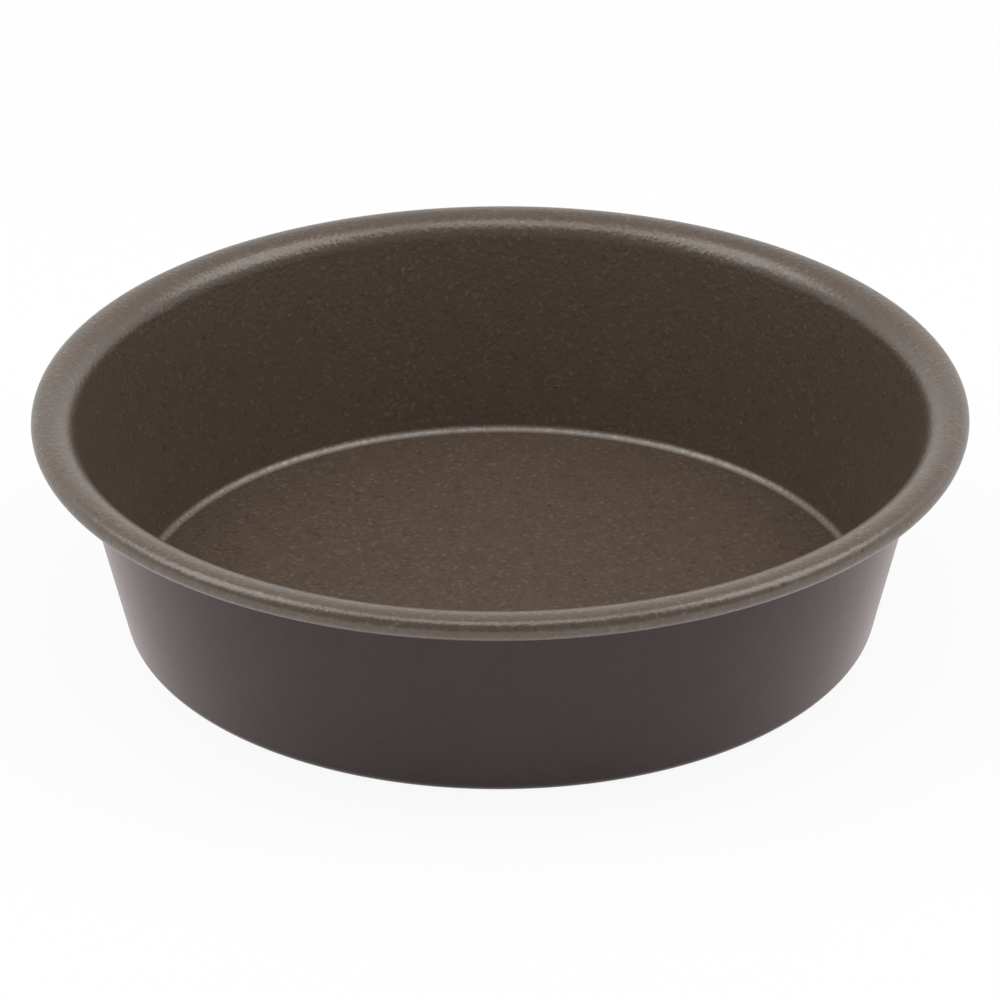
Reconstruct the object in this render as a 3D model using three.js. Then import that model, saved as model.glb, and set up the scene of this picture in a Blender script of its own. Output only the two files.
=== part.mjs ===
// A round flan pan: coated sheet steel, drawn to a shallow cone, with its rim curled round a wire.
// Millimetres, +Z up. The origin is the centre of the underside, where the pan rests.

import * as THREE from "three";

// Overall sizes
const RIM_DIAMETER = 200; // across the outside of the curled rim
const PAN_HEIGHT = 50; // from the table to the top of the rim
const WALL_DRAFT = 12.6; // degrees that the wall leans out from upright

// The coated sheet, from the lined face to the lacquered face
const LINING_THICKNESS = 0.04;
const STEEL_THICKNESS = 0.6;
const LACQUER_THICKNESS = 0.03;

// Bends in the sheet, as radii of its lined face
const CORNER_RADIUS = 2; // from the floor up into the wall
const FLARE_RADIUS = 6; // from the wall out into the flange

// The rim: a gently domed flange that ends in a curl round a wire
const FLANGE_WIDTH = 2.8; // from the flare to the curl
const FLANGE_TILT = 11; // degrees that the dome slopes at each edge of the flange
const WIRE_DIAMETER = 3;
const WIRE_CLEARANCE = 0.23; // from the wire to the inside of the curl
const WIRE_BUTT_GAP = 1; // between the two ends of the wire
const CURL_EDGE_GAP = 0.5; // from the free edge of the sheet up to the flange above it

// Facets
const TURN_STEPS = 56; // round the pan
const CORNER_STEPS = 3;
const FLARE_STEPS = 4;
const FLANGE_STEPS = 2;
const SHOULDER_STEPS = 3; // from the flange to the widest point of the curl
const CURL_STEPS = 6; // from there to the free edge
const WIRE_SIDES = 10;

// Finishes
const liningFinish = new THREE.MeshStandardMaterial({ color: 0x57493d, roughness: 0.55, metalness: 0.15 });
const steelFinish = new THREE.MeshStandardMaterial({ color: 0x8c8e90, roughness: 0.4, metalness: 1 });
const lacquerFinish = new THREE.MeshStandardMaterial({ color: 0x463b3b, roughness: 0.35, metalness: 0.1 });
const wireFinish = new THREE.MeshStandardMaterial({ color: 0x9b9da0, roughness: 0.35, metalness: 1 });

// Section of the sheet
// Depths are counted from the lined face, so every layer follows the same bends about the same centres.
const steelDepth = LINING_THICKNESS;
const lacquerDepth = steelDepth + STEEL_THICKNESS;
const sheetDepth = lacquerDepth + LACQUER_THICKNESS;

const UP = Math.PI / 2;
const draft = THREE.MathUtils.degToRad(WALL_DRAFT);
const tilt = THREE.MathUtils.degToRad(FLANGE_TILT);
const wireRadius = WIRE_DIAMETER / 2;
const curlRadius = wireRadius + WIRE_CLEARANCE + sheetDepth;
const domeRadius = FLANGE_WIDTH / (2 * Math.sin(tilt));

// A point at a distance and an angle from another, in the plane of the section.
const polar = (from, distance, angle) =>
  new THREE.Vector2(from.x + distance * Math.cos(angle), from.y + distance * Math.sin(angle));

// The centres are found from the outside of the rim inwards, each bend running smoothly into the next.
const flangeDrop = domeRadius * (1 - Math.cos(tilt));
const curlCentre = new THREE.Vector2(
  RIM_DIAMETER / 2 - curlRadius,
  PAN_HEIGHT - flangeDrop - curlRadius * Math.cos(tilt),
);
const domeCentre = polar(polar(curlCentre, curlRadius, UP - tilt), domeRadius, -UP - tilt);
const flareCentre = polar(polar(domeCentre, domeRadius, UP + tilt), FLARE_RADIUS, tilt - UP);
const wallTop = polar(flareCentre, FLARE_RADIUS, Math.PI - draft);
const cornerHeight = sheetDepth + CORNER_RADIUS;
// The corner's centre lies one corner radius inside the lined face of the wall.
const cornerCentre = new THREE.Vector2(
  wallTop.x - (wallTop.y - cornerHeight) * Math.tan(draft) - CORNER_RADIUS / Math.cos(draft),
  cornerHeight,
);
// The curl stops just short of the underside of the flange.
const curlReach = PAN_HEIGHT - flangeDrop - sheetDepth - CURL_EDGE_GAP - curlCentre.y;
const curlEnd = Math.PI - Math.asin(curlReach / curlRadius) - 2 * Math.PI;

// Points of a bend, from one angle to another.
function bend(centre, radius, from, to, steps) {
  return new THREE.EllipseCurve(centre.x, centre.y, radius, radius, from, to, from > to).getPoints(steps);
}

// The line that the sheet follows at a depth, from the middle of the floor to the free edge in the curl.
function sheetLine(depth) {
  return [
    new THREE.Vector2(0, sheetDepth - depth),
    ...bend(cornerCentre, CORNER_RADIUS + depth, -UP, -draft, CORNER_STEPS),
    ...bend(flareCentre, FLARE_RADIUS - depth, Math.PI - draft, UP + tilt, FLARE_STEPS),
    ...bend(domeCentre, domeRadius - depth, UP + tilt, UP - tilt, FLANGE_STEPS).slice(1),
    ...bend(curlCentre, curlRadius - depth, UP - tilt, 0, SHOULDER_STEPS).slice(1),
    ...bend(curlCentre, curlRadius - depth, 0, curlEnd, CURL_STEPS).slice(1),
  ];
}

// One layer of the sheet between two depths, turned round the pan's axis.
function sheetLayer(name, nearDepth, farDepth, finish) {
  const outline = [...sheetLine(farDepth), ...sheetLine(nearDepth).reverse()];
  const geometry = new THREE.LatheGeometry(outline, TURN_STEPS).rotateX(UP);
  const mesh = new THREE.Mesh(geometry, finish);
  mesh.name = name;
  return mesh;
}

// The middle of the wire: nearly a full turn, with its ends a butt gap apart.
class WireLine extends THREE.Curve {
  getPoint(t, target = new THREE.Vector3()) {
    const halfGap = WIRE_BUTT_GAP / 2 / curlCentre.x;
    const turn = THREE.MathUtils.lerp(halfGap, 2 * Math.PI - halfGap, t);
    return target.set(curlCentre.x * Math.cos(turn), curlCentre.x * Math.sin(turn), curlCentre.y);
  }
}

function rimWire() {
  const section = new THREE.Shape().absarc(0, 0, wireRadius, 0, 2 * Math.PI);
  const geometry = new THREE.ExtrudeGeometry(section, {
    extrudePath: new WireLine(),
    steps: TURN_STEPS,
    curveSegments: WIRE_SIDES / 2,
    bevelEnabled: false,
  });
  const mesh = new THREE.Mesh(geometry, wireFinish);
  mesh.name = "rim_wire";
  return mesh;
}

const pan = new THREE.Group();
pan.add(
  sheetLayer("nonstick_lining", 0, steelDepth, liningFinish),
  sheetLayer("pan_shell", steelDepth, lacquerDepth, steelFinish),
  sheetLayer("outer_lacquer", lacquerDepth, sheetDepth, lacquerFinish),
  rimWire(),
);

export default pan;
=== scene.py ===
"""A coated steel flan pan with a wired rim, standing in a plain white studio."""

import math

import bmesh
import bpy
from bpy.props import FloatProperty, FloatVectorProperty, IntProperty, PointerProperty
from mathutils import Matrix, Vector


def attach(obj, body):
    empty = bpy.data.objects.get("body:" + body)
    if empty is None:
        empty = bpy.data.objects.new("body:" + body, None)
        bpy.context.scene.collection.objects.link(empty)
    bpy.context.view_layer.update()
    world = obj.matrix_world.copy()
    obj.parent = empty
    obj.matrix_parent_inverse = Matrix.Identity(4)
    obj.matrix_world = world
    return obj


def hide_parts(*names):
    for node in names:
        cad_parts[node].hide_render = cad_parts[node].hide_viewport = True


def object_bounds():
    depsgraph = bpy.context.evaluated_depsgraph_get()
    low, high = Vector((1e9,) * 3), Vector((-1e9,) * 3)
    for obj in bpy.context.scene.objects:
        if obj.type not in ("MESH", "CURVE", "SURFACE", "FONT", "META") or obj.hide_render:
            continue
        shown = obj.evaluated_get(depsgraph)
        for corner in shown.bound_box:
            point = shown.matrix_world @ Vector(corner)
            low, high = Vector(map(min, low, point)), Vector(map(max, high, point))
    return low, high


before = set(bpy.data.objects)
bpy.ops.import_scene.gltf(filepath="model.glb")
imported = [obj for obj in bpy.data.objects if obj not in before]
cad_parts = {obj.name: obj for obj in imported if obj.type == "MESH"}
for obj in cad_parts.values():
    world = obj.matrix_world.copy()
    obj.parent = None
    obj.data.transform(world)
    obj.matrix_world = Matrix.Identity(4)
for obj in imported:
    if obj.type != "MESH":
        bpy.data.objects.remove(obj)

bl_info = {
    "name": "Flan Pan",
    "version": (1, 0, 0),
    "blender": (4, 5, 0),
    "location": "3D View > Sidebar > Flan Pan",
    "description": "Models a coated steel flan pan with a wired rim, and the studio it stands in",
    "category": "Add Mesh",
}

CAD_LOW, CAD_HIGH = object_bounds()
BODY = "root"
MM = 0.001
DEG = math.pi / 180
UP = math.pi / 2

# Meshes
MERGE_DISTANCE = 0.001 * MM
SHARP_ANGLE = 40 * DEG
DOME_FINENESS = 4  # the flange's dome turns little, so it gets more steps than its turn asks for

# The lining: heights above its flat floor between which its gloss changes
DRAWN_FROM = 0.01 * MM  # the floor lies below, the drawn bend above
DRAWN_TO = 0.09 * MM
BEND_FROM = 1.63 * MM  # the wall lies above, the polished bend below
BEND_TO = 0.93 * MM
PLAIN_GLOSS = 0.5  # the shader's usual specular level

# The lining: its speckle
DRIFT_WIDTH = 4  # a patch of one tone, in widths of a pebble
DARK_FLECK_WIDTH = 1.3  # a dark fleck, in widths of a pebble
FLECK_LEVEL = 0.58
FLECK_EDGE = 0.16
HOLLOW_DULLNESS = 1.15  # roughness in the hollows and on the tops, as a share of the mean
TOP_DULLNESS = 0.85

# The lacquer and the steel
LACQUER_DRIFT = 25 * MM
LACQUER_LINE = 0.5 * MM
LACQUER_ROUGHNESS = (0.20, 0.30)
STEEL_LINE = 0.15 * MM
STEEL_RELIEF = 0.004 * MM
STEEL_DULL = 0.7  # brightness of the dull lines, as a share of the bright ones
SHEET_ROUGHNESS = (0.30, 0.50)
SHEET_STRETCH = (0.05, 1, 1)  # the sheet was rolled along X
WIRE_ROUGHNESS = (0.25, 0.40)
WIRE_STRETCH = (1, 1, 1)

# The studio
WHITE = (1, 1, 1, 1)
FLOOR_PAINT = (0.9, 0.9, 0.9, 1)
FLOOR_GAP = 0.02 * MM  # keeps the floor just clear of the pan's base
BACKDROP_FADE = 8 * DEG  # to each side of the backdrop's top
SIDE_FADE = 0.5  # how far forward and back the backdrop fades, where 1 is straight ahead
SENSOR_WIDTH = 36


def length(name, description, default):
    """A size in metres."""
    return FloatProperty(
        name=name, description=description, default=default, min=0, unit="LENGTH", precision=5
    )


def angle(name, description, degrees):
    """An angle, given in degrees."""
    return FloatProperty(
        name=name, description=description, default=degrees * DEG, subtype="ANGLE", unit="ROTATION"
    )


def colour(name, description, default):
    """A linear colour."""
    return FloatVectorProperty(
        name=name, description=description, default=default, min=0, max=1, subtype="COLOR", size=3
    )


def share(name, description, default):
    """A number from 0 to 1."""
    return FloatProperty(
        name=name, description=description, default=default, min=0, max=1, subtype="FACTOR"
    )


def strength(name, description, default):
    """The brightness of a light."""
    return FloatProperty(name=name, description=description, default=default, min=0)


def count(name, description, default):
    """A whole number of steps."""
    return IntProperty(name=name, description=description, default=default, min=1)


class PanSizes(bpy.types.PropertyGroup):
    """Sizes of the pan, as a drawing of its section gives them."""

    rim_radius: length("Rim radius", "From the axis to the outside of the curl", CAD_HIGH.x)
    height: length("Height", "From the table to the top of the rim", CAD_HIGH.z)
    wall_draft: angle("Wall draft", "How far the wall leans out from upright", 12.6)
    lining: length("Lining", "Thickness of the nonstick coat", 0.04 * MM)
    steel: length("Steel", "Thickness of the steel sheet", 0.6 * MM)
    lacquer: length("Lacquer", "Thickness of the coat outside", 0.03 * MM)
    corner_radius: length("Corner radius", "Bend from the floor up into the wall", 2 * MM)
    flare_radius: length("Flare radius", "Bend from the wall out into the flange", 6 * MM)
    flange_width: length("Flange width", "From the flare to the curl", 2.8 * MM)
    flange_tilt: angle("Flange tilt", "Slope of the flange's dome at each edge", 11)
    wire_diameter: length("Wire diameter", "Thickness of the wire in the rim", 3 * MM)
    wire_clearance: length("Wire clearance", "From the wire to the inside of the curl", 0.23 * MM)
    wire_gap: length("Wire gap", "Between the two ends of the wire", 1 * MM)
    curl_edge_gap: length("Curl edge gap", "From the sheet's free edge to the flange", 0.5 * MM)
    turn_steps: count("Turn steps", "Faces round the pan", 256)
    bend_steps: count("Bend steps", "Faces round a quarter of a bend", 14)
    wire_sides: count("Wire sides", "Faces round the wire", 20)


class PanFinishes(bpy.types.PropertyGroup):
    """Colours and grain of the pan's finishes."""

    lining_dark: colour("Lining, dark", "Hollows of the nonstick coat", (0.084, 0.060, 0.044))
    lining_light: colour("Lining, light", "Tops of the nonstick coat", (0.106, 0.075, 0.055))
    fleck_light: colour("Light fleck", "Pale mineral flecks in the lining", (0.150, 0.116, 0.090))
    fleck_dark: colour("Dark fleck", "Dark mineral flecks in the lining", (0.060, 0.042, 0.031))
    lining_grain: length("Lining grain", "Width of a pebble in the lining", 1 * MM)
    lining_relief: length("Lining relief", "Height of a pebble in the lining", 0.11 * MM)
    lining_roughness: share("Lining roughness", "How far the drawn lining spreads a reflection", 0.30)
    floor_roughness: share("Floor roughness", "The same on the floor, which no die rubs", 0.40)
    floor_gloss: share("Floor gloss", "Specular level of the floor, where 0.5 is plain", 0.05)
    bend_roughness: share("Bend roughness", "Roughness of the corner bend at the floor", 0.45)
    bend_gloss: share("Bend gloss", "Specular level of that bend, which the die polishes", 1.0)
    lacquer_dark: colour("Lacquer, dark", "The lacquer at its darkest", (0.062, 0.044, 0.044))
    lacquer_light: colour("Lacquer, light", "The lacquer at its lightest", (0.074, 0.054, 0.054))
    lacquer_grain: length("Lacquer grain", "Width of the lacquer's faint ripple", 2.2 * MM)
    lacquer_relief: length("Lacquer relief", "Height of that ripple", 0.003 * MM)
    steel_colour: colour("Steel", "Cold-rolled sheet at its cut edge", (0.42, 0.42, 0.43))
    wire_colour: colour("Wire", "Drawn steel wire", (0.50, 0.50, 0.51))


class StudioSettings(bpy.types.PropertyGroup):
    """The camera, lights and floor."""

    elevation: angle("Elevation", "Camera above the horizon", 27.76)
    roll: angle("Roll", "Turn of the camera about its line of sight", -0.265)
    distance: length("Distance", "From the camera to the point it looks at", 1.05)
    aim_across: FloatProperty(
        name="Aim across",
        description="Point beside the pan's axis that it looks at",
        default=-0.11 * MM,
        unit="LENGTH",
        precision=5,
    )
    aim_height: length("Aim height", "Point on the pan's axis that it looks at", 24.7 * MM)
    lens: FloatProperty(
        name="Lens", description="Focal length", default=175, min=1, unit="CAMERA"
    )
    backdrop: strength("Backdrop", "Brightness of the surround behind the pan", 1.0)
    backdrop_top: angle("Backdrop top", "Top of the backdrop above the horizon", 28)
    front: strength("Front", "Brightness of the surround on the camera's side", 0.25)
    ceiling: share("Ceiling", "Share of that brightness overhead", 0.6)
    lamp_power: FloatProperty(
        name="Lamp power", description="Power of each soft box", default=3.15, min=0, unit="POWER"
    )
    top_power: FloatProperty(
        name="Top power", description="Power of the soft box overhead", default=1.5, min=0, unit="POWER"
    )
    lamp_size: length("Lamp size", "Side of each soft box", 0.62)
    top_size: length("Top size", "Side of the soft box overhead", 0.45)
    lamp_distance: length("Lamp distance", "From the pan to each soft box", 0.9)
    lamp_elevation: angle("Lamp elevation", "Soft boxes above the horizon", 52)
    lamp_spread: angle("Lamp spread", "Soft boxes to each side of straight behind", 92)
    top_elevation: angle("Top elevation", "Third soft box above the horizon", 75)
    floor_half: length("Floor half width", "From the pan to the edge of the floor", 12)
    floor_white: share("Floor white", "Share of the floor's white that shadows leave", 0.92)


class FlanPan(bpy.types.PropertyGroup):
    """All settings of the scene."""

    sizes: PointerProperty(type=PanSizes)
    finishes: PointerProperty(type=PanFinishes)
    studio: PointerProperty(type=StudioSettings)


def place(across, up):
    """A point in the plane of the section, which is the plane through +X and +Z."""
    return Vector((across, 0, up))


def beside(point, distance, turn):
    """The point at a distance and an angle from another, in the plane of the section."""
    return point + place(distance * math.cos(turn), distance * math.sin(turn))


class Section:
    """Centres of the sheet's bends, from the outside of the rim inwards."""

    def __init__(self, sizes):
        self.sizes = sizes
        draft, tilt = sizes.wall_draft, sizes.flange_tilt
        self.sheet = sizes.lining + sizes.steel + sizes.lacquer
        self.curl_radius = sizes.wire_diameter / 2 + sizes.wire_clearance + self.sheet
        self.dome_radius = sizes.flange_width / (2 * math.sin(tilt))
        shoulder_height = sizes.height - self.dome_radius * (1 - math.cos(tilt))
        self.curl = place(
            sizes.rim_radius - self.curl_radius,
            shoulder_height - self.curl_radius * math.cos(tilt),
        )
        shoulder = beside(self.curl, self.curl_radius, UP - tilt)
        self.dome = beside(shoulder, self.dome_radius, -UP - tilt)
        inner_edge = beside(self.dome, self.dome_radius, UP + tilt)
        self.flare = beside(inner_edge, sizes.flare_radius, tilt - UP)
        wall_top = beside(self.flare, sizes.flare_radius, math.pi - draft)
        corner_height = self.sheet + sizes.corner_radius
        lean = (wall_top.z - corner_height) * math.tan(draft)
        inset = sizes.corner_radius / math.cos(draft)
        self.corner = place(wall_top.x - lean - inset, corner_height)
        reach = shoulder_height - self.sheet - sizes.curl_edge_gap - self.curl.z
        self.curl_end = UP - tilt + math.pi + math.asin(reach / self.curl_radius)


def run_to(bm, tip, point):
    """Draws a straight line from a vertex to a point and gives the new end."""
    end = bmesh.ops.extrude_vert_indiv(bm, verts=[tip])["verts"][0]
    bmesh.ops.translate(bm, verts=[end], vec=point - end.co)
    return end


def bend_round(bm, tip, centre, turn, bend_steps):
    """Draws an arc from a vertex round a centre, clockwise if turn is positive, and gives its end."""
    steps = max(2, round(abs(turn) / UP * bend_steps))
    arc = bmesh.ops.spin(bm, geom=[tip], cent=centre, axis=(0, 1, 0), angle=turn, steps=steps)
    return arc["geom_last"][0]


def trace_sheet(bm, section, depth):
    """Draws the line that the sheet follows at a depth below its lined face, from the middle of the
    floor to the free edge in the curl, and gives that end."""
    sizes = section.sizes
    draft, tilt = sizes.wall_draft, sizes.flange_tilt
    tip = bm.verts.new(place(0, section.sheet - depth))
    tip = run_to(bm, tip, place(section.corner.x, section.sheet - depth))
    tip = bend_round(bm, tip, section.corner, draft - UP, sizes.bend_steps)
    tip = run_to(bm, tip, beside(section.flare, sizes.flare_radius - depth, math.pi - draft))
    tip = bend_round(bm, tip, section.flare, UP - draft - tilt, sizes.bend_steps)
    tip = bend_round(bm, tip, section.dome, 2 * tilt, DOME_FINENESS * sizes.bend_steps)
    return bend_round(bm, tip, section.curl, section.curl_end, sizes.bend_steps)


def turn_round_axis(bm, edges, steps):
    """Turns an outline once round the pan's axis into a closed body."""
    ring = {vert for edge in edges for vert in edge.verts}
    bmesh.ops.spin(
        bm,
        geom=[*ring, *edges],
        cent=(0, 0, 0),
        axis=(0, 0, 1),
        angle=2 * math.pi,
        steps=steps,
        use_merge=True,
    )
    bmesh.ops.remove_doubles(bm, verts=bm.verts, dist=MERGE_DISTANCE)
    bmesh.ops.recalc_face_normals(bm, faces=bm.faces)


def finish_piece(bm, name, node, material):
    """Turns a bmesh into the piece that stands for a node of the frame, with its finish."""
    for face in bm.faces:
        face.smooth = True
    mesh = bpy.data.meshes.new(name)
    bm.to_mesh(mesh)
    bm.free()
    mesh.set_sharp_from_angle(angle=SHARP_ANGLE)
    mesh.materials.append(material)
    piece = bpy.data.objects.new(name, mesh)
    bpy.context.scene.collection.objects.link(piece)
    even = piece.modifiers.new("Even shading", "WEIGHTED_NORMAL")
    even.keep_sharp = True
    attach(piece, BODY)
    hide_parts(node)
    return piece


def sheet_layer(name, node, near, far, material):
    """Models one layer of the sheet between two depths."""
    sizes = bpy.context.scene.flan_pan.sizes
    section = Section(sizes)
    bm = bmesh.new()
    bm.edges.new([trace_sheet(bm, section, depth) for depth in (near, far)])
    turn_round_axis(bm, bm.edges[:], sizes.turn_steps)
    return finish_piece(bm, name, node, material)


def add(tree, kind, inputs=None, **settings):
    """Adds a node with its settings, and with values for some of its inputs."""
    node = tree.nodes.new(kind)
    for name, value in settings.items():
        setattr(node, name, value)
    for name, value in (inputs or {}).items():
        node.inputs[name].default_value = value
    return node


def new_group(name, inputs, outputs):
    """Starts a shader node group and gives its tree with its input and output nodes."""
    tree = bpy.data.node_groups.new(name, "ShaderNodeTree")
    for socket, kind, default in inputs:
        made = tree.interface.new_socket(socket, in_out="INPUT", socket_type=kind)
        if default is not None:
            made.default_value = default
    for socket, kind in outputs:
        tree.interface.new_socket(socket, in_out="OUTPUT", socket_type=kind)
    return tree, tree.nodes.new("NodeGroupInput"), tree.nodes.new("NodeGroupOutput")


def shared_group(name, build):
    """A shader node group, built the first time that it is asked for."""
    return bpy.data.node_groups.get(name) or build(name)


def texture_scale(tree, size):
    """Turns the width of a grain into the scale of a texture."""
    scale = add(tree, "ShaderNodeMath", operation="DIVIDE")
    scale.inputs[0].default_value = 1
    tree.links.new(size, scale.inputs[1])
    return scale.outputs[0]


def build_coat_grain(name):
    """Rounded grain of a baked coat: its relief, and a slower drift of tone."""
    tree, source, result = new_group(
        name,
        [
            ("Vector", "NodeSocketVector", None),
            ("Grain", "NodeSocketFloat", 1 * MM),
            ("Drift", "NodeSocketFloat", 12 * MM),
        ],
        [("Relief", "NodeSocketFloat"), ("Tone", "NodeSocketFloat")],
    )
    grain = add(tree, "ShaderNodeTexNoise", {"Detail": 1.5, "Roughness": 0.5})
    drift = add(tree, "ShaderNodeTexNoise", {"Detail": 2, "Roughness": 0.6})
    for texture, size in ((grain, "Grain"), (drift, "Drift")):
        tree.links.new(source.outputs["Vector"], texture.inputs["Vector"])
        tree.links.new(texture_scale(tree, source.outputs[size]), texture.inputs["Scale"])
    tree.links.new(grain.outputs["Fac"], result.inputs["Relief"])
    blend = add(tree, "ShaderNodeMix", {"Factor": 0.5}, data_type="FLOAT")
    tree.links.new(grain.outputs["Fac"], blend.inputs["A"])
    tree.links.new(drift.outputs["Fac"], blend.inputs["B"])
    spread = add(tree, "ShaderNodeMapRange", {"From Min": 0.3, "From Max": 0.7})
    tree.links.new(blend.outputs["Result"], spread.inputs["Value"])
    tree.links.new(spread.outputs["Result"], result.inputs["Tone"])
    return tree


def build_flecks(name):
    """Scattered flecks of ragged outline: a mask that is 1 inside them and 0 between them."""
    tree, source, result = new_group(
        name,
        [
            ("Vector", "NodeSocketVector", None),
            ("Grain", "NodeSocketFloat", 1 * MM),
            ("Level", "NodeSocketFloat", 0.62),
            ("Edge", "NodeSocketFloat", 0.08),
        ],
        [("Mask", "NodeSocketFloat")],
    )
    cloud = add(tree, "ShaderNodeTexNoise", {"Detail": 2, "Roughness": 0.55, "Distortion": 0.4})
    tree.links.new(source.outputs["Vector"], cloud.inputs["Vector"])
    tree.links.new(texture_scale(tree, source.outputs["Grain"]), cloud.inputs["Scale"])
    top = add(tree, "ShaderNodeMath", operation="ADD")
    tree.links.new(source.outputs["Level"], top.inputs[0])
    tree.links.new(source.outputs["Edge"], top.inputs[1])
    mask = add(tree, "ShaderNodeMapRange", interpolation_type="SMOOTHSTEP")
    tree.links.new(cloud.outputs["Fac"], mask.inputs["Value"])
    tree.links.new(source.outputs["Level"], mask.inputs["From Min"])
    tree.links.new(top.outputs[0], mask.inputs["From Max"])
    tree.links.new(mask.outputs["Result"], result.inputs["Mask"])
    return tree


def build_draw_lines(name):
    """Fine lines that a die leaves along one direction: a value round 0.5."""
    tree, source, result = new_group(
        name,
        [
            ("Vector", "NodeSocketVector", None),
            ("Grain", "NodeSocketFloat", 0.2 * MM),
            ("Stretch", "NodeSocketVector", (1, 1, 0.02)),
        ],
        [("Lines", "NodeSocketFloat")],
    )
    stretched = add(tree, "ShaderNodeVectorMath", operation="MULTIPLY")
    tree.links.new(source.outputs["Vector"], stretched.inputs[0])
    tree.links.new(source.outputs["Stretch"], stretched.inputs[1])
    lines = add(tree, "ShaderNodeTexNoise", {"Detail": 3, "Roughness": 0.7})
    tree.links.new(stretched.outputs[0], lines.inputs["Vector"])
    tree.links.new(texture_scale(tree, source.outputs["Grain"]), lines.inputs["Scale"])
    tree.links.new(lines.outputs["Fac"], result.inputs["Lines"])
    return tree


def effect(tree, name, build, vector, **values):
    """Places a shared node group in a material, with its own values."""
    node = add(tree, "ShaderNodeGroup", node_tree=shared_group(name, build))
    tree.links.new(vector, node.inputs["Vector"])
    for socket, value in values.items():
        node.inputs[socket].default_value = value
    return node


def coat_grain(tree, vector, **values):
    """Places the grain of a baked coat."""
    return effect(tree, "Coat grain", build_coat_grain, vector, **values)


def flecks(tree, vector, **values):
    """Places scattered flecks."""
    return effect(tree, "Flecks", build_flecks, vector, **values)


def draw_lines(tree, vector, **values):
    """Places the lines of a die."""
    return effect(tree, "Draw lines", build_draw_lines, vector, **values)


def new_material(name, **settings):
    """Starts a material and gives it with its tree, its shader and the Object coordinates."""
    material = bpy.data.materials.new(name)
    material.use_nodes = True
    tree = material.node_tree
    shader = tree.nodes["Principled BSDF"]
    for socket, value in settings.items():
        shader.inputs[socket.replace("_", " ")].default_value = value
    return material, tree, shader, add(tree, "ShaderNodeTexCoord").outputs["Object"]


def feed(tree, value, socket):
    """Links a socket to another one, or sets it to a number or to a colour of three numbers."""
    if isinstance(value, bpy.types.NodeSocket):
        tree.links.new(value, socket)
    elif socket.type == "RGBA":
        socket.default_value = (*value, 1)
    else:
        socket.default_value = value


def mix_colour(tree, factor, first, second):
    """Mixes two colours."""
    mix = add(tree, "ShaderNodeMix", data_type="RGBA")
    tree.links.new(factor, mix.inputs["Factor"])
    feed(tree, first, mix.inputs["A"])
    feed(tree, second, mix.inputs["B"])
    return mix.outputs["Result"]


def ranged(tree, value, low, high):
    """Spreads a value from 0 to 1 over another range."""
    spread = add(tree, "ShaderNodeMapRange")
    tree.links.new(value, spread.inputs["Value"])
    feed(tree, low, spread.inputs["To Min"])
    feed(tree, high, spread.inputs["To Max"])
    return spread.outputs["Result"]


def height_mask(tree, height, start, end):
    """A mask that is 0 at one height and 1 at another."""
    mask = add(tree, "ShaderNodeMapRange", {"From Min": start, "From Max": end})
    tree.links.new(height, mask.inputs["Value"])
    return mask.outputs["Result"]


def bump(tree, shader, height, relief):
    """Gives the shader a relief in metres."""
    node = add(tree, "ShaderNodeBump", {"Strength": 1, "Distance": relief})
    tree.links.new(height, node.inputs["Height"])
    tree.links.new(node.outputs["Normal"], shader.inputs["Normal"])


def lining_material(finishes, floor):
    """Satin nonstick coat: pebbled and flecked, dull on the flat floor, whose height is given, and
    polished in the bend round it."""
    material, tree, shader, vector = new_material(
        "nonstick_coat", IOR=1.75, Specular_Tint=(1, 0.95, 0.90, 1)
    )
    size = finishes.lining_grain
    dark_size = DARK_FLECK_WIDTH * size
    grain = coat_grain(tree, vector, Grain=size, Drift=DRIFT_WIDTH * size)
    pale = flecks(tree, vector, Grain=size, Level=FLECK_LEVEL, Edge=FLECK_EDGE)
    dark = flecks(tree, vector, Grain=dark_size, Level=FLECK_LEVEL, Edge=FLECK_EDGE)
    tone = mix_colour(tree, grain.outputs["Tone"], finishes.lining_dark, finishes.lining_light)
    tone = mix_colour(tree, dark.outputs["Mask"], tone, finishes.fleck_dark)
    tone = mix_colour(tree, pale.outputs["Mask"], tone, finishes.fleck_light)
    tree.links.new(tone, shader.inputs["Base Color"])
    place_on_pan = add(tree, "ShaderNodeSeparateXYZ")
    tree.links.new(vector, place_on_pan.inputs[0])
    height = place_on_pan.outputs["Z"]
    drawn = height_mask(tree, height, floor + DRAWN_FROM, floor + DRAWN_TO)
    bent = height_mask(tree, height, floor + BEND_FROM, floor + BEND_TO)
    wall_rough = ranged(tree, bent, finishes.lining_roughness, finishes.bend_roughness)
    rough = ranged(tree, drawn, finishes.floor_roughness, wall_rough)
    pebble_rough = ranged(tree, grain.outputs["Tone"], HOLLOW_DULLNESS, TOP_DULLNESS)
    satin = add(tree, "ShaderNodeMath", operation="MULTIPLY")
    tree.links.new(rough, satin.inputs[0])
    tree.links.new(pebble_rough, satin.inputs[1])
    tree.links.new(satin.outputs[0], shader.inputs["Roughness"])
    wall_gloss = ranged(tree, bent, PLAIN_GLOSS, finishes.bend_gloss)
    gloss = ranged(tree, drawn, finishes.floor_gloss, wall_gloss)
    tree.links.new(gloss, shader.inputs["Specular IOR Level"])
    bump(tree, shader, grain.outputs["Relief"], finishes.lining_relief)
    return material


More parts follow.
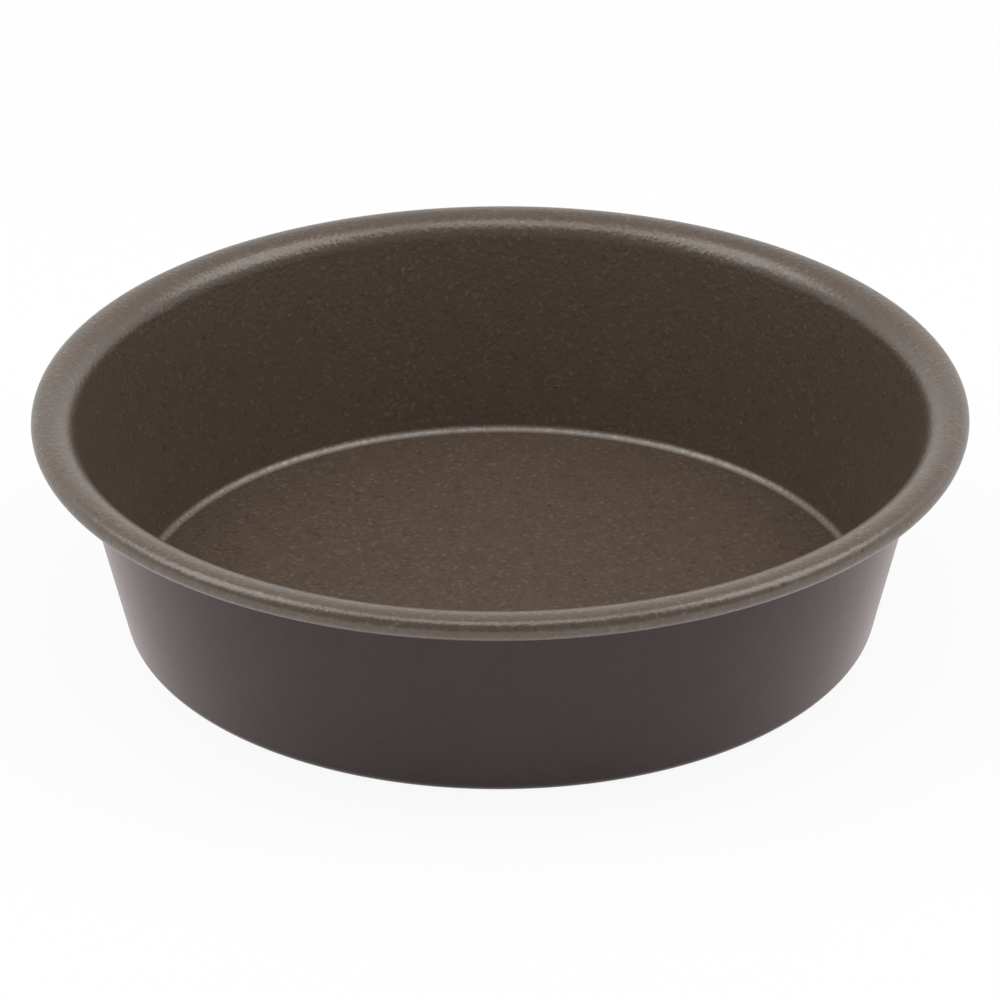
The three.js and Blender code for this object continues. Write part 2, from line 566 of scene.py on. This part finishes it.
def lacquer_material(finishes):
    """Smooth satin-gloss lacquer with a faint ripple and the draw of the sheet under it."""
    material, tree, shader, vector = new_material(
        "brown_lacquer",
        IOR=1.30,
        Specular_Tint=(1, 0.91, 0.86, 1),
        Sheen_Weight=0.12,
        Sheen_Roughness=0.4,
        Sheen_Tint=(1, 0.25, 0.20, 1),
    )
    grain = coat_grain(tree, vector, Grain=finishes.lacquer_grain, Drift=LACQUER_DRIFT)
    lines = draw_lines(tree, vector, Grain=LACQUER_LINE)
    tone = mix_colour(tree, grain.outputs["Tone"], finishes.lacquer_dark, finishes.lacquer_light)
    tree.links.new(tone, shader.inputs["Base Color"])
    rough = ranged(tree, lines.outputs["Lines"], *LACQUER_ROUGHNESS)
    tree.links.new(rough, shader.inputs["Roughness"])
    bump(tree, shader, grain.outputs["Relief"], finishes.lacquer_relief)
    return material


def steel_material(name, tint, stretch, roughness):
    """Bare steel with fine lines along the way that it was rolled or drawn."""
    material, tree, shader, vector = new_material(name, Metallic=1)
    lines = draw_lines(tree, vector, Grain=STEEL_LINE, Stretch=stretch)
    dull = tuple(STEEL_DULL * value for value in tint)
    tone = mix_colour(tree, lines.outputs["Lines"], dull, tint)
    tree.links.new(tone, shader.inputs["Base Color"])
    rough = ranged(tree, lines.outputs["Lines"], *roughness)
    tree.links.new(rough, shader.inputs["Roughness"])
    bump(tree, shader, lines.outputs["Lines"], STEEL_RELIEF)
    return material


class FLANPAN_OT_steel_sheet(bpy.types.Operator):
    """Model the steel sheet that the pan is drawn from"""

    bl_idname = "flan_pan.steel_sheet"
    bl_label = "Steel Sheet"

    def execute(self, context):
        pan = context.scene.flan_pan
        tint = pan.finishes.steel_colour
        steel = steel_material("sheet_steel", tint, SHEET_STRETCH, SHEET_ROUGHNESS)
        near = pan.sizes.lining
        far = near + pan.sizes.steel
        sheet_layer("steel_sheet", "pan_shell", near, far, steel)
        return {"FINISHED"}


class FLANPAN_OT_nonstick_lining(bpy.types.Operator):
    """Model the nonstick coat on the inside and over the rim"""

    bl_idname = "flan_pan.nonstick_lining"
    bl_label = "Nonstick Lining"

    def execute(self, context):
        pan = context.scene.flan_pan
        coat = lining_material(pan.finishes, Section(pan.sizes).sheet)
        sheet_layer("lining_coat", "nonstick_lining", 0, pan.sizes.lining, coat)
        return {"FINISHED"}


class FLANPAN_OT_outer_lacquer(bpy.types.Operator):
    """Model the lacquer on the wall and base outside"""

    bl_idname = "flan_pan.outer_lacquer"
    bl_label = "Outer Lacquer"

    def execute(self, context):
        pan = context.scene.flan_pan
        coat = lacquer_material(pan.finishes)
        near = pan.sizes.lining + pan.sizes.steel
        far = near + pan.sizes.lacquer
        sheet_layer("lacquer_coat", "outer_lacquer", near, far, coat)
        return {"FINISHED"}


class FLANPAN_OT_rim_wire(bpy.types.Operator):
    """Model the wire that the rim is curled round"""

    bl_idname = "flan_pan.rim_wire"
    bl_label = "Rim Wire"

    def execute(self, context):
        pan = context.scene.flan_pan
        sizes = pan.sizes
        centre = Section(sizes).curl
        gap = sizes.wire_gap / centre.x
        bm = bmesh.new()
        upright = Matrix.Rotation(UP, 4, "X")
        bmesh.ops.create_circle(
            bm,
            segments=sizes.wire_sides,
            radius=sizes.wire_diameter / 2,
            matrix=Matrix.Rotation(gap / 2, 4, "Z") @ Matrix.Translation(centre) @ upright,
        )
        ring = bm.verts[:] + bm.edges[:]
        bmesh.ops.spin(
            bm,
            geom=ring,
            cent=(0, 0, 0),
            axis=(0, 0, 1),
            angle=2 * math.pi - gap,
            steps=sizes.turn_steps,
        )
        ends = [edge for edge in bm.edges if edge.is_boundary]
        bmesh.ops.holes_fill(bm, edges=ends, sides=0)
        bmesh.ops.recalc_face_normals(bm, faces=bm.faces)
        tint = pan.finishes.wire_colour
        wire = steel_material("wire_steel", tint, WIRE_STRETCH, WIRE_ROUGHNESS)
        finish_piece(bm, "wire_ring", "rim_wire", wire)
        return {"FINISHED"}


def white_to_eye(tree, lit, white):
    """Mixes a lit shader with a white one that the camera, reflections and glass see."""
    path = add(tree, "ShaderNodeLightPath")
    seen = path.outputs["Is Camera Ray"]
    for way in ("Is Glossy Ray", "Is Transmission Ray"):
        either = add(tree, "ShaderNodeMath", operation="MAXIMUM")
        tree.links.new(seen, either.inputs[0])
        tree.links.new(path.outputs[way], either.inputs[1])
        seen = either.outputs[0]
    mix = add(tree, "ShaderNodeMixShader")
    tree.links.new(seen, mix.inputs["Fac"])
    tree.links.new(lit, mix.inputs[1])
    tree.links.new(white, mix.inputs[2])
    return mix.outputs[0]


def light_world(studio):
    """A surround with a white backdrop behind the pan, dimmer on the camera's side and overhead."""
    world = bpy.data.worlds.new("studio")
    world.use_nodes = True
    tree = world.node_tree
    tree.nodes.clear()
    way = add(tree, "ShaderNodeSeparateXYZ")
    tree.links.new(add(tree, "ShaderNodeTexCoord").outputs["Generated"], way.inputs[0])
    round_about = add(
        tree, "ShaderNodeMapRange", {"From Min": -SIDE_FADE, "From Max": SIDE_FADE}
    )
    round_about.inputs["To Min"].default_value = studio.front
    round_about.inputs["To Max"].default_value = studio.backdrop
    tree.links.new(way.outputs["Y"], round_about.inputs["Value"])
    overhead = add(tree, "ShaderNodeMapRange", {"To Min": 1, "To Max": studio.ceiling})
    overhead.inputs["From Min"].default_value = math.sin(studio.backdrop_top - BACKDROP_FADE)
    overhead.inputs["From Max"].default_value = math.sin(studio.backdrop_top + BACKDROP_FADE)
    tree.links.new(way.outputs["Z"], overhead.inputs["Value"])
    level = add(tree, "ShaderNodeMath", operation="MULTIPLY")
    tree.links.new(round_about.outputs["Result"], level.inputs[0])
    tree.links.new(overhead.outputs["Result"], level.inputs[1])
    surround = add(tree, "ShaderNodeBackground", {"Color": WHITE})
    tree.links.new(level.outputs[0], surround.inputs["Strength"])
    result = add(tree, "ShaderNodeOutputWorld")
    tree.links.new(surround.outputs[0], result.inputs["Surface"])
    bpy.context.scene.world = world


def lay_floor(studio):
    """A wide white floor that keeps a soft shadow, and is clear from below."""
    bm = bmesh.new()
    bmesh.ops.create_grid(bm, x_segments=1, y_segments=1, size=studio.floor_half)
    mesh = bpy.data.meshes.new("floor")
    bm.to_mesh(mesh)
    bm.free()
    floor = bpy.data.objects.new("floor", mesh)
    floor.location.z = -FLOOR_GAP
    bpy.context.scene.collection.objects.link(floor)
    material = bpy.data.materials.new("floor_white")
    material.use_nodes = True
    tree = material.node_tree
    tree.nodes.clear()
    matt = add(tree, "ShaderNodeBsdfDiffuse", {"Color": FLOOR_PAINT})
    white = add(tree, "ShaderNodeEmission", {"Color": WHITE, "Strength": 1})
    part = add(tree, "ShaderNodeMixShader", {"Fac": studio.floor_white})
    tree.links.new(matt.outputs[0], part.inputs[1])
    tree.links.new(white.outputs[0], part.inputs[2])
    result = add(tree, "ShaderNodeOutputMaterial")
    sided = add(tree, "ShaderNodeMixShader")
    tree.links.new(add(tree, "ShaderNodeNewGeometry").outputs["Backfacing"], sided.inputs["Fac"])
    tree.links.new(white_to_eye(tree, matt.outputs[0], part.outputs[0]), sided.inputs[1])
    tree.links.new(add(tree, "ShaderNodeBsdfTransparent").outputs[0], sided.inputs[2])
    tree.links.new(sided.outputs[0], result.inputs["Surface"])
    mesh.materials.append(material)


def hang_lamp(name, power, size, way, studio):
    """A soft box that shines on the pan from a direction."""
    light = bpy.data.lights.new(name, "AREA")
    light.energy = power
    light.size = size
    lamp = bpy.data.objects.new(name, light)
    bpy.context.scene.collection.objects.link(lamp)
    lamp.location = way * studio.lamp_distance
    lamp.rotation_euler = way.to_track_quat("Z", "Y").to_euler()
    lamp.visible_camera = False


def hang_lamps(studio):
    """A soft box above each side of the pan, and one high on the camera's side."""
    level = math.cos(studio.lamp_elevation)
    for side, name in ((-1, "lamp_left"), (1, "lamp_right")):
        way = Vector(
            (
                side * math.sin(studio.lamp_spread) * level,
                math.cos(studio.lamp_spread) * level,
                math.sin(studio.lamp_elevation),
            )
        )
        hang_lamp(name, studio.lamp_power, studio.lamp_size, way, studio)
    way = Vector((0, -math.cos(studio.top_elevation), math.sin(studio.top_elevation)))
    hang_lamp("lamp_top", studio.top_power, studio.top_size, way, studio)


def set_camera(studio):
    """The camera, at the photograph's viewing angle."""
    data = bpy.data.cameras.new("camera")
    data.lens = studio.lens
    data.sensor_width = SENSOR_WIDTH
    camera = bpy.data.objects.new("camera", data)
    bpy.context.scene.collection.objects.link(camera)
    back = Vector((0, -math.cos(studio.elevation), math.sin(studio.elevation)))
    camera.location = place(studio.aim_across, studio.aim_height) + back * studio.distance
    level = back.to_track_quat("Z", "Y").to_matrix().to_4x4()
    camera.rotation_euler = (level @ Matrix.Rotation(studio.roll, 4, "Z")).to_euler()
    bpy.context.scene.camera = camera


class FLANPAN_OT_studio(bpy.types.Operator):
    """Set up the floor, the lights and the camera"""

    bl_idname = "flan_pan.studio"
    bl_label = "Studio"

    def execute(self, context):
        studio = context.scene.flan_pan.studio
        light_world(studio)
        lay_floor(studio)
        hang_lamps(studio)
        set_camera(studio)
        context.scene.view_settings.view_transform = "Standard"
        return {"FINISHED"}


class FLANPAN_PT_sidebar(bpy.types.Panel):
    """Settings and steps of the flan pan"""

    bl_idname = "FLANPAN_PT_sidebar"
    bl_label = "Flan Pan"
    bl_space_type = "VIEW_3D"
    bl_region_type = "UI"
    bl_category = "Flan Pan"

    def draw(self, context):
        pan = context.scene.flan_pan
        for group in (pan.sizes, pan.finishes, pan.studio):
            box = self.layout.box()
            for name in group.__annotations__:
                box.prop(group, name)
        for step in STEPS:
            self.layout.operator(step.bl_idname)


STEPS = (
    FLANPAN_OT_steel_sheet,
    FLANPAN_OT_rim_wire,
    FLANPAN_OT_nonstick_lining,
    FLANPAN_OT_outer_lacquer,
    FLANPAN_OT_studio,
)
CLASSES = (PanSizes, PanFinishes, StudioSettings, FlanPan, *STEPS, FLANPAN_PT_sidebar)


def register():
    for cls in CLASSES:
        bpy.utils.register_class(cls)
    bpy.types.Scene.flan_pan = PointerProperty(type=FlanPan)


def unregister():
    del bpy.types.Scene.flan_pan
    for cls in reversed(CLASSES):
        bpy.utils.unregister_class(cls)


def main():
    """Makes the pan and its studio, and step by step."""
    register()
    bpy.ops.flan_pan.steel_sheet()
    bpy.ops.flan_pan.rim_wire()
    bpy.ops.flan_pan.nonstick_lining()
    bpy.ops.flan_pan.outer_lacquer()
    bpy.ops.flan_pan.studio()


if __name__ == "__main__":
    main()
